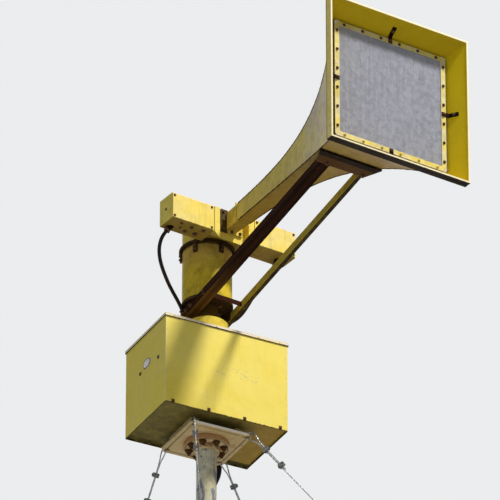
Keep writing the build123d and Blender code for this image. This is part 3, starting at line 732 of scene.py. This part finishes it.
# %% Softened edges
soft_edges = {
    0.0008: "screen_frame",
    0.0010: "beam_box_covers throat_duct strut_crossbar plate_channels",
    0.0012: "housing_pan mouth_rim " + housing_sides,
    0.0015: "housing_lid throat_flange horn_bracket strut_near strut_far guy_turnbuckles "
            "guy_rope_clips",
    0.0020: "guy_plate head_base_disc clamp_ring guy_anchor_plates",
    0.0025: "mast_top_flange mast_base_flange",
    0.0030: "beam_box_left beam_box_right beam_centre",
}
for width, names in soft_edges.items():
    for node in names.split():
        weld = nodes[node].modifiers.new("weld", "WELD")
        weld.merge_threshold = 0.00002
        bevel = nodes[node].modifiers.new("bevel", "BEVEL")
        bevel.width = width
        bevel.segments = 2
        bevel.limit_method = "ANGLE"
        bevel.angle_limit = radians(40)
        bevel.harden_normals = True
print("softened", sum(len(names.split()) for names in soft_edges.values()), "nodes")

# %% [markdown]
# Floor and light: a round pale floor with a soft edge, and large soft lamps from
# the side that the sun stood on, at a plain level.

# %% Floor
shade, shader, coords = material("floor")
reach = shade.vector("LENGTH", coords["Object"])["Value"]
below = shade.node("ShaderNodeNewGeometry").outputs["Backfacing"]
shown = shade.times(shade.stretch(reach, 5.5, 7.9, 1.0, 0.0), shade.minus(1.0, below))
shade.named(shader, **{"Base Color": (0.8, 0.8, 0.79, 1), "Roughness": 0.9, "Alpha": shown})
bm = bmesh.new()
bmesh.ops.create_circle(bm, cap_ends=True, segments=96, radius=8.0)
mesh = bpy.data.meshes.new("floor")
bm.to_mesh(mesh)
bm.free()
mesh.materials.append(looks["floor"])
add_object("floor", mesh, (0, 0, -0.001))

# %% Light
light_aim = Vector((0, -0.6, 7.2))
soft_lamps = {
    "key_lamp": ((3.6, -8.2, 18.6), 1.6, 2850, (1.0, 0.97, 0.92)),
    "fill_lamp": ((-12.0, -6.0, 8.0), 8.0, 225, (0.78, 0.89, 1.0)),
    "rear_lamp": ((4.0, 12.0, 12.0), 7.0, 700, (1.0, 1.0, 1.0)),
    "low_lamp": ((-3.0, -9.0, 0.8), 6.0, 60, (1.0, 0.98, 0.94)),
}
for name, (spot, size, watts, tint) in soft_lamps.items():
    lamp = bpy.data.lights.new(name, "AREA")
    lamp.shape = "DISK"
    lamp.size = size
    lamp.energy = watts
    lamp.color = tint
    add_object(name, lamp, spot, light_aim - Vector(spot))

world = bpy.data.worlds.new("studio")
scene.world = world
world.use_nodes = True
sky = Shade(world.node_tree)
rays = sky.node("ShaderNodeLightPath").outputs
seen = sky.math("MAXIMUM", rays["Is Camera Ray"], rays["Is Glossy Ray"])
seen = sky.math("MAXIMUM", seen, rays["Is Transmission Ray"])
strength = sky.plus(0.22, sky.times(seen, 0.75))
sky.named(world.node_tree.nodes["Background"], Color=(0.86, 0.87, 0.88, 1), Strength=strength)

# %% [markdown]
# Mesh helpers. Every new piece is made of a few repeated forms, and its object
# stays at the origin with its place in its mesh.

# %% Mesh helpers
def steps(first, last, count):
    """Evenly spaced values or spots, with both ends."""
    return [first + (last - first) * i / count for i in range(count + 1)]


def turns(count):
    """Angles that divide a full turn."""
    return steps(0.0, 2 * pi, count)[:-1]


def polar(radius, angle, level=0.0):
    """A spot round the mast's axis."""
    return Vector((radius * cos(angle), radius * sin(angle), level))


def circle(count, radius, level, start=0.0):
    """Spots evenly round the mast's axis, each with its outward direction."""
    for angle in turns(count):
        way = polar(1, angle + radians(start))
        yield way * radius + Vector((0, 0, level)), way


def finish_piece(name, bm, body, *finishes, slot=None, smooth=True):
    """Empty a bmesh into a piece that rides on a body. The plain case is a set of bolts."""
    mesh = bpy.data.meshes.new(name)
    bmesh.ops.recalc_face_normals(bm, faces=bm.faces)
    bm.to_mesh(mesh)
    bm.clear()
    for finish in finishes or ("bolt_steel",):
        mesh.materials.append(looks[finish])
    if smooth:
        mesh.shade_smooth()
        mesh.set_sharp_from_angle(angle=radians(35))
    piece = add_object(name, mesh)
    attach(piece, body)
    print(name, "faces", len(mesh.polygons))
    return piece


def standing(spot, normal, spin=0.0):
    """A matrix that puts a form's +Z along a normal at a spot."""
    turn = Vector(normal).to_track_quat("Z", "Y").to_matrix().to_4x4()
    return Matrix.Translation(spot) @ turn @ Matrix.Rotation(spin, 4, "Z")


def skin(bm, rings, index=0, closed=False):
    """Faces between rings of points. A last ring of one point is a pole; open ends get caps."""
    pairs = list(zip(rings, rings[1:])) + ([(rings[-1], rings[0])] if closed else [])
    faces = []
    for low, high in pairs:
        for i in range(len(low)):
            j = (i + 1) % len(low)
            top = high if len(high) == 1 else (high[j], high[i])
            faces.append((low[i], low[j], *top))
    if not closed:
        faces += [ring for ring in (rings[0][::-1], rings[-1]) if len(ring) > 1]
    for corners in faces:
        bm.faces.new(corners).material_index = index


def add_lathe(bm, place, profile, sides, index=0):
    """A closed turned form from (radius, height) pairs; a last radius of 0 is a pole."""
    rings = [
        [
            bm.verts.new(place @ polar(radius, angle, height))
            for angle in (turns(sides) if radius else [0.0])
        ]
        for radius, height in profile
    ]
    skin(bm, rings, index)


def add_bolt(bm, spot, normal, width, stud=0.0, index=0):
    """A hex head or nut on its washer; width is across the corners."""
    place = standing(spot, normal, dice.uniform(0, pi / 3))
    half = width / 2
    low, high = half * 0.16, half * 0.92
    tip = high + stud
    washer = [(half * 1.25, -0.0002), (half * 1.25, low), (0, low)]
    head = [
        (half * 0.9, low), (half, low + half * 0.1), (half, high - half * 0.16),
        (half * 0.84, high), (0, high),
    ]
    core = [(half * 0.5, low), (half * 0.5, tip - half * 0.1), (half * 0.4, tip), (0, tip)]
    add_lathe(bm, place, washer, 20, index)
    add_lathe(bm, place, head, 6, index)
    if stud:
        add_lathe(bm, place, core, 12, index)


def add_rivet(bm, spot, normal, radius):
    """A round rivet or screw head."""
    profile = [
        (radius, -0.0002), (radius * 0.95, radius * 0.28), (radius * 0.62, radius * 0.52),
        (0, radius * 0.62),
    ]
    add_lathe(bm, standing(spot, normal), profile, 12)


def add_box(bm, low, high, place=Matrix()):
    """A box between two corners, moved by a matrix."""
    low, high = Vector(low), Vector(high)
    middle = Matrix.Translation((low + high) / 2)
    bmesh.ops.create_cube(bm, size=1, matrix=place @ middle @ Matrix.Diagonal((*(high - low), 1)))


def carried(spots, closed=False):
    """Each spot of a line with two directions square to it, carried along without a twist."""
    count = len(spots)
    normal = None
    for i, spot in enumerate(spots):
        ahead = spots[(i + 1) % count] if closed or i < count - 1 else spot
        behind = spots[i - 1] if closed or i > 0 else spot
        way = (ahead - behind).normalized()
        if normal is None:
            normal = way.orthogonal().normalized()
        normal = (normal - way * normal.dot(way)).normalized()
        yield spot, normal, way.cross(normal)


def add_tube(bm, spots, radius, sides=8, closed=False, wobble=0.0):
    """A round bar along a line of spots."""
    rings = []
    for spot, normal, side in carried(spots, closed):
        size = radius * (1 + dice.uniform(-wobble, wobble))
        rings.append([
            bm.verts.new(spot + (normal * cos(angle) + side * sin(angle)) * size)
            for angle in turns(sides)
        ])
    skin(bm, rings, closed=closed)


# %% [markdown]
# Mast joints: the flange's bolts and nuts, and the beads round the pipe, the hubs
# and the bearing. From here on `bm` holds the piece in the making, and
# `finish_piece` empties it.

# %% Mast bolts and welds
flange_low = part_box("mast_top_flange")[0].z
base_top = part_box("mast_base_flange")[1].z
plate_low, plate_high = (c.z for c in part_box("guy_plate"))
flange_thick = 0.024
flange_bolt_reach = 0.1
pipe_radius = 0.05715
hub_radius = 0.0735
bead = 0.005

bm = bmesh.new()
for spot, way in circle(8, flange_bolt_reach, flange_low + flange_thick):
    add_bolt(bm, spot, (0, 0, -1), 0.036, stud=0.012, index=1)
    add_bolt(bm, (spot.x, spot.y, plate_high), (0, 0, 1), 0.036)
finish_piece("mast_bolts", bm, "mast", "bolt_steel", "bracket_steel")


def weld_ring(bm, radius, level, thick):
    """A fillet weld round the mast, as an uneven bead."""
    spots = [spot + way * dice.uniform(-0.0006, 0.0006) for spot, way in circle(72, radius, level)]
    add_tube(bm, spots, thick, closed=True, wobble=0.16)


for pipe_side, hub_side in (
    (flange_low, flange_low + flange_thick), (base_top, base_top - flange_thick),
):
    weld_ring(bm, pipe_radius + 0.002, pipe_side, bead)
    weld_ring(bm, hub_radius, hub_side, bead)
weld_ring(bm, 0.0655, drum_high + 0.001, 0.002)
finish_piece("mast_welds", bm, "mast", "flange_paint", slot="mast_paint")

# %% [markdown]
# Guys: each rope is laid from six strands round its core, with its loop through
# the guy plate's eye, a thimble in the loop, U-bolts and nuts on the clips.

# %% Guys
# Each guy's eye on the plate and its own direction in degrees, and its fall per metre out
guys = {
    "near": (-135.0, -118.0, 1.71),
    "right": (-45.0, -57.0, 1.30),
    "far": (45.0, 7.0, 1.70),
    "left": (135.0, 93.0, 1.70),
}
eye_inset = 0.032
eye_radius = 0.015
eye_reach = (plate_half - eye_inset) * sqrt(2)
loop_radius = 0.022
loop_half = 0.003
loop_to = 0.14
rope_radius = 0.004
rope_lay = 0.052
rope_lobes = 6
plate_half_thick = (plate_high - plate_low) / 2
loop_inner = loop_radius - rope_radius - 0.0003
loop_reach = sqrt(eye_radius**2 - loop_half**2) + sqrt(loop_inner**2 - plate_half_thick**2)
tail_offset = 0.0085
clip_stations = (0.130, 0.280)
clip_length = 0.026
clip_leg = 0.0112
clip_bolt_shift = 0.00612
turnbuckle_length = 0.300
screw_radius = 0.0065
anchor_plate_thick = 0.014
anchor_pin_level = anchor_plate_thick + 0.035
anchor_lug = 0.110
pin_half = 0.0185


def add_rope(bm, line):
    """Laid rope: lobes that wind round the line."""
    run = 0.0
    last = line[0]
    rings = []
    for spot, normal, side in carried(line):
        run += (spot - last).length
        last = spot
        ring = []
        for angle in turns(18):
            size = rope_radius * (0.84 + 0.16 * abs(cos(angle * rope_lobes / 2)))
            angle += 2 * pi * run / rope_lay
            ring.append(bm.verts.new(spot + (normal * cos(angle) + side * sin(angle)) * size))
        rings.append(ring)
    skin(bm, rings)


def smooth_line(points, step):
    """Points along a Catmull-Rom curve, about a step apart."""
    line = []
    for i in range(len(points) - 1):
        a = points[max(i - 1, 0)]
        b, c = points[i], points[i + 1]
        d = points[min(i + 2, len(points) - 1)]
        count = max(2, round((c - b).length / step))
        for k in range(count):
            t = k / count
            square = (2 * a - 5 * b + 4 * c - d) * t * t
            line.append(0.5 * (2 * b + (c - a) * t + square + (3 * b - a - 3 * c + d) * t**3))
    return line + [points[-1]]


hardware = bmesh.new()
pins = bmesh.new()
for side, (eye_angle, azimuth, fall) in guys.items():
    angle = radians(eye_angle) + housing_turn
    flat = polar(1, radians(azimuth))
    eye = polar(eye_reach, angle, (plate_low + plate_high) / 2) + flat * loop_reach
    direction = (flat - Vector((0, 0, fall))).normalized()
    across = direction.cross(Vector((0, 0, 1))).normalized()
    rise = across.cross(direction).normalized()
    total = (eye.z - anchor_pin_level) / -direction.z

    def at(along, above=0.0, beside=0.0):
        """A spot along the guy, moved up and to the side of it."""
        return eye + direction * along + rise * above + across * beside

    def arc(radius, first, last, count):
        """Spots round the loop's centre, from one angle in degrees to another."""
        angles = [radians(a) for a in steps(first, last, count)]
        return [at(radius * cos(a), radius * sin(a)) for a in angles]

    # The rope's loop, from its straight run round the eye and back to the tail's end
    rope_end = total - turnbuckle_length
    loop = [
        at(loop_to), at(0.10), at(0.062, -0.004), at(0.030, -0.016), at(0.0, -loop_radius),
        *arc(loop_radius, 225, 135, 2),
        at(0.0, loop_radius), at(0.030, 0.0185), at(0.062, 0.0115), at(0.10, tail_offset),
        at(loop_to, tail_offset), at(clip_stations[-1] + 2 * clip_length, tail_offset),
    ]
    add_rope(bm, [at(s) for s in steps(rope_end, loop_to, 620)] + smooth_line(loop, 0.006)[1:])
    piece = finish_piece(f"laid_rope_{side}", bm, "mast", "rope_wire", slot="rope_steel")
    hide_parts(f"guy_rope_{side}")

    # Thimble inside the loop
    add_tube(hardware, arc(loop_radius - rope_radius - 0.001, 55, 305, 18), 0.0016)

    # U-bolts and nuts on the clips
    for station in clip_stations:
        middle = station + clip_length / 2
        above = tail_offset / 2
        for shift in (-clip_bolt_shift, clip_bolt_shift):
            for leg in (clip_leg, -clip_leg):
                post = [at(middle + shift, above + h, leg) for h in (-0.016, 0.022)]
                add_tube(hardware, post, 0.003)
        for leg in (-clip_leg, clip_leg):
            add_bolt(hardware, at(middle, above + 0.011, leg), rise, 0.0135, stud=0.006)
        bow = [
            at(middle, above - 0.011 - 0.007 * sin(angle), clip_leg * cos(angle))
            for angle in steps(0, pi, 8)
        ]
        add_tube(hardware, bow, 0.0032)

    # Turnbuckle screws inside the open body, and the pin through the anchor's lug
    start, end = rope_end, total - anchor_lug
    gap = (end - start) * 0.34
    for a, b in ((start, start + gap), (end - gap, end)):
        add_tube(pins, [at(s) for s in steps(a, b, 60)], screw_radius, 12)
        thread = [(0.0062, -0.0011), (0.0078, -0.0002), (0.0078, 0.0002), (0.0062, 0.0011)]
        count = round((b - a) / 0.0026)
        for i in range(count):
            add_lathe(pins, standing(at(a + (b - a) * (i + 0.5) / count), direction), thread, 12)
    add_tube(pins, [at(total, 0, -pin_half - 0.004), at(total, 0, pin_half + 0.004)], 0.008, 16)
    add_bolt(pins, at(total, 0, pin_half), across, 0.026)
    add_bolt(pins, at(total, 0, -pin_half), -across, 0.026)

    # Weld bead all round the lug's foot
    foot = at(total)
    foot.z = anchor_plate_thick + 0.0015
    flat = Vector((direction.x, direction.y, 0)).normalized()
    beside = Vector((-flat.y, flat.x, 0))
    feet = [
        foot + flat * (0.0565 * u) + beside * (0.0095 * v)
        for u, v in ((1, 1), (-1, 1), (-1, -1), (1, -1), (1, 1))
    ]
    spots = []
    for a, b in zip(feet, feet[1:]):
        spots += steps(a, b, max(3, round((b - a).length / 0.006)))[:-1]
    add_tube(hardware, spots, 0.0042, closed=True, wobble=0.16)
finish_piece("guy_hardware", hardware, "mast", "zinc")
finish_piece("turnbuckle_screws", pins, "mast", "bright_steel")

# %% [markdown]
# Housing: the lid's and the sides' screws, the latch plates, the small oval badge,
# which is left bare, two plugs beside it, and the bolts on the bearing drum.

# %% Housing details
turn = Matrix.Rotation(housing_turn, 4, "Z")
turned = turn.to_3x3()
lip_y = -front_y + 0.005
lip_x = side_x + 0.005
middle = (lid_low + lid_high) / 2


def housing_rivet(x, y, z, normal, radius):
    """A rivet or screw head, placed in the housing's own directions."""
    add_rivet(bm, turn @ Vector((x, y, z)), turned @ Vector(normal), radius)


for sign in (-1, 1):
    for x in steps(-0.33, 0.33, 5):
        housing_rivet(x, sign * lip_y, middle, (0, sign, 0), 0.004)
    for y in steps(-0.195, 0.195, 3):
        housing_rivet(sign * lip_x, y, middle, (sign, 0, 0), 0.004)
    for z in steps(housing_low + 0.09, housing_low + 0.465, 3):
        for edge in (-1, 1):
            housing_rivet(edge * (side_x - 0.012), sign * -front_y, z, (0, sign, 0), 0.0028)
finish_piece("housing_screws", bm, "mast", "cover_paint", slot="yellow_paint")

latch_reach = side_x - 0.047
for x in steps(-latch_reach, latch_reach, 3):
    low = (x - 0.009, front_y - 0.003, housing_low + 0.002)
    high = (x + 0.009, front_y + 0.0005, housing_low + 0.024)
    add_box(bm, low, high, turn)
    spot = turn @ Vector((x, front_y - 0.007, housing_low + 0.014))
    screw = [(0.0062, -0.0005), (0.0062, 0.0012), (0, 0.0012)]
    add_lathe(bm, standing(spot, turned @ Vector((0, -1, 0))), screw, 6)
    low = (x - 0.0045, front_y - 0.0095, housing_low + 0.013)
    high = (x + 0.0045, front_y - 0.008, housing_low + 0.015)
    add_box(bm, low, high, turn)
finish_piece("latch_plates", bm, "mast")

badge_at = Vector((-side_x, -0.014, housing_low + 0.356))
oval = Matrix.Diagonal((0.62, 1, 1, 1))
place = turn @ Matrix.Translation(badge_at) @ Matrix.Rotation(-pi / 2, 4, "Y") @ oval
add_lathe(bm, place, [(0.047, -0.0004), (0.047, 0.0012), (0.045, 0.0018), (0, 0.0018)], 40)
add_lathe(bm, place, [(0.036, 0.0016), (0.036, 0.0022), (0, 0.0022)], 40, 1)
finish_piece("housing_badge", bm, "mast", "zinc", "bright_steel")

for y, z, radius in ((-0.158, 0.324, 0.012), (0.064, 0.326, 0.0115)):
    housing_rivet(-side_x, y, housing_low + z, (-1, 0, 0), radius)
finish_piece("housing_plugs", bm, "mast")

for spot, way in circle(6, 0.092, drum_high, 30):
    add_bolt(bm, spot, (0, 0, 1), 0.020)
finish_piece("drum_bolts", bm, "mast")

# %% [markdown]
# Head: the bolts of the clamp ring, base disc and throat, the crown's lifting eye,
# and the screws and plugs of the beam.

# %% Head bolts
chopper_low, chopper_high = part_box("chopper_housing")
disc_top = 7.282
disc_radius = 0.148
strut_middle, strut_clear = 0.122, 0.012
lug_face = casing_high.x + 0.0123
ring_middle = (chopper_high.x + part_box("clamp_ring")[1].x) / 2

for spot, way in circle(6, lug_face, casing_high.z, 30):
    for drop in (0.018, 0.042):
        add_bolt(bm, spot - Vector((0, 0, drop)), way, 0.014)
    add_bolt(bm, way * ring_middle + Vector((0, 0, chopper_low.z)), (0, 0, 1), 0.013)
# No rivet where a strut lies against the disc's edge
for spot, way in circle(12, disc_radius, (disc_bottom + disc_top) / 2, 15):
    if abs(abs(way.x) * 0.142 - strut_middle) > strut_clear or way.y > 0.35:
        add_rivet(bm, spot, way, 0.004)
for spot, way in circle(6, 0.084, disc_bottom):
    add_bolt(bm, spot, (0, 0, -1), 0.019)
finish_piece("head_bolts", bm, "head")

crown_top = chopper_high.z
eye_ring = 0.020
eye = [
    Vector((eye_ring * cos(angle), 0, crown_top + 0.010 + eye_ring * sin(angle)))
    for angle in turns(28)
]
add_tube(bm, eye, 0.0045, 10, closed=True)
boss = [(0.020, -0.001), (0.020, 0.004), (0.012, 0.008), (0, 0.008)]
add_lathe(bm, standing((0, 0, crown_top), (0, 0, 1)), boss, 24)
for spot, way in circle(8, 0.104, crown_top, 22.5):
    add_bolt(bm, spot, (0, 0, 1), 0.014)
finish_piece("crown_hardware", bm, "head")

for x in (-0.400, -0.152, 0.152, 0.400):
    for z in (cover_low.z + 0.014, cover_high.z - 0.014):
        add_bolt(bm, (x, cover_low.y, z), (0, -1, 0), 0.0125)
finish_piece("cover_screws", bm, "head")

# Plugs and screw heads under the left box, where water has rusted them
box_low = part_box("beam_box_left")[0]
for x, y, width in (
    (0.188, -0.250, 0.020), (0.262, -0.243, 0.018), (0.336, -0.252, 0.016),
    (0.210, -0.196, 0.024), (0.274, -0.188, 0.019), (0.316, -0.206, 0.013),
):
    add_bolt(bm, (-x, y, box_low.z), (0, 0, -1), width)
add_rivet(bm, (box_low.x, -0.215, box_low.z + 0.082), (-1, 0, 0), 0.009)
finish_piece("beam_plugs", bm, "head")

middle = (throat_low.z + throat_high.z) / 2
for x, z in (
    *((x, z) for x in (-0.056, 0.056) for z in (-0.056, 0.0, 0.056)),
    (0, -0.060), (0, 0.060),
):
    add_bolt(bm, (x, throat_low.y, middle + z), (0, -1, 0), 0.017, stud=0.004)
finish_piece("throat_bolts", bm, "head")

# %% [markdown]
# Horn: weld beads down the four corners, rivets through the rim's band, and the
# screen with its wires, bolts and bare corners.

# %% Horn details
horn_length = 1.683
throat_level = 7.706
throat_half = {"plan": 0.030, "side": 0.050}
taper = {"plan": 0.066, "side": 0.023}
mouth_half = 0.451
flare_power = 3.2
corners = [(x, z) for x in (-1, 1) for z in (-1, 1)]


def horn_half(t, view):
    """Half the horn's inner width or height, at a share t of its length."""
    flare = mouth_half - throat_half[view] - taper[view]
    return throat_half[view] + taper[view] * t + flare * t**flare_power


def horn_level(t):
    return throat_level + (mouth_level - throat_level) * t


seam_radius = 0.0036
for sign_x, sign_z in corners:
    spots = [
        Vector((
            sign_x * (horn_half(t, "plan") + seam_radius),
            throat_low.y - horn_length * t,
            horn_level(t) + sign_z * (horn_half(t, "side") + seam_radius),
        ))
        for t in steps(0.075, 0.970, 150)
    ]
    add_tube(bm, spots, seam_radius, wobble=0.2)
finish_piece("horn_seams", bm, "head", "bracket_steel", slot="horn_paint")

rim_mid = (rim_high.z + rim_low.z) / 2
y = rim_high.y - 0.013
# The top row is sunk, so that its heads stay within the rim's height
for along in steps(-0.42, 0.42, 8):
    for x, z, normal in (
        (along, rim_out - 0.0026, (0, 0, 1)), (along, -rim_out, (0, 0, -1)),
        (rim_out, along, (1, 0, 0)), (-rim_out, along, (-1, 0, 0)),
    ):
        add_rivet(bm, (x, y, rim_mid + z), normal, 0.0045)
finish_piece("rim_rivets", bm, "head", "rim_paint", slot="horn_paint")

screen_low, screen_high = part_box("screen_frame")
screen_half = (screen_high.x - screen_low.x) / 2
screen_mid = (screen_high.z + screen_low.z) / 2
quarter_turns = [Matrix.Rotation(pi / 2 * face, 3, "Y") for face in range(4)]
lower_face = 2
bolts_to = screen_half - 0.062
for along in steps(-bolts_to, bolts_to, 5):
    for face, spin in enumerate(quarter_turns):
        placed = spin @ Vector((along, 0, screen_half - strap_wide / 2))
        spot = (placed.x, screen_low.y, screen_mid + placed.z)
        painted_over = int(face == lower_face)
        add_bolt(bm, spot, (0, -1, 0), 0.0150, stud=0.003, index=painted_over)
leg_y = screen_low.y - 0.030
t = (throat_low.y - leg_y) / horn_length
for face, spin in enumerate(quarter_turns):
    foot = spin @ Vector((0, 0, screen_half - 0.014))
    add_bolt(bm, (foot.x, screen_low.y - 0.004, screen_mid + foot.z), (0, -1, 0), 0.016, stud=0.005)
    leg = spin @ Vector((0, 0, horn_half(t, "plan" if face % 2 else "side") - 0.0058))
    inward = (-leg).normalized() + Vector((0, -0.55, 0))
    add_bolt(bm, (leg.x, leg_y, horn_level(t) + leg.z), inward, 0.015)
finish_piece("screen_bolts", bm, "head", "bolt_steel", "strap_paint")

# Galvanised corners, bare of paint, under the straps' ends
for sign_x, sign_z in corners:
    for wide, tall in ((0.030, 0.005), (0.005, 0.030)):
        a = (sign_x * screen_half, screen_low.y - 0.0004, screen_mid + sign_z * screen_half)
        b = (a[0] - sign_x * wide, screen_low.y + 0.0005, a[2] - sign_z * tall)
        add_box(bm, *(Vector(map(pick, a, b)) for pick in (min, max)))
finish_piece("screen_corners", bm, "head", "bright_steel", slot="horn_paint", smooth=False)

# Wire cloth: two layers of straight wires, welded where they cross
low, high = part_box("mouth_screen")
pitch = 0.0036
wire = 0.0010
count = round((high.x - low.x) / pitch)
for x, z in zip(steps(low.x, high.x, count), steps(low.z, high.z, count)):
    upright = wire * dice.uniform(0.8, 1.12)
    y = low.y + wire
    add_tube(bm, [Vector((x, y, low.z)), Vector((x, y, high.z))], upright, 6)
    y = low.y + 2.8 * wire
    add_tube(bm, [Vector((low.x, y, z)), Vector((high.x, y, z))], wire, 6)
cloth = finish_piece("wire_cloth", bm, "head", "screen_wire", slot="screen_wire")
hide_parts("mouth_screen")

# %% [markdown]
# Supports: bolts where the struts meet the hangers and the bracket, and along the
# bracket's front leg.

# %% Support bolts
strut_tail = 7.190
strut_foot_y = 0.030
hanger_face = 0.131
for sign in (-1, 1):
    for y in (0.012, -0.034):
        level = strut_tail + strut_slope * (strut_foot_y - y) + 0.028
        add_bolt(bm, (sign * hanger_face, y, level), (sign, 0, 0), 0.021, stud=0.006)
    level = strut_tail + strut_slope * (strut_foot_y + 0.160) + 0.024
    for side_step in (0.008, -0.008):
        spot = (sign * hanger_face, side_step - 0.159, level + side_step * 1.6)
        add_bolt(bm, spot, (sign, 0, 0), 0.011)
for x in (-0.098, 0.138):
    add_bolt(bm, (x, bracket_high.y - 0.017, bracket_low.z), (0, 0, -1), 0.022, stud=0.007)
for x in (-0.17, -0.06, 0.06, 0.17):
    add_bolt(bm, (x, bracket_low.y, bracket_low.z + 0.016), (0, -1, 0), 0.014)
finish_piece("support_bolts", bm, "head")

# %% [markdown]
# Gland nuts where the conduits enter their glands.

# %% Gland nuts
nut = [
    (0.0112, -0.002), (0.0185, -0.0015), (0.0195, 0.001), (0.0195, 0.011), (0.0185, 0.0125),
    (0.0112, 0.0125),
]
for piece, spots in conduits.values():
    for end, beyond in ((spots[0], spots[2]), (spots[-1], spots[-3])):
        way = (end - beyond).normalized()
        add_lathe(bm, standing(end - way * 0.012, way), nut, 6)
finish_piece("gland_nuts", bm, "head")
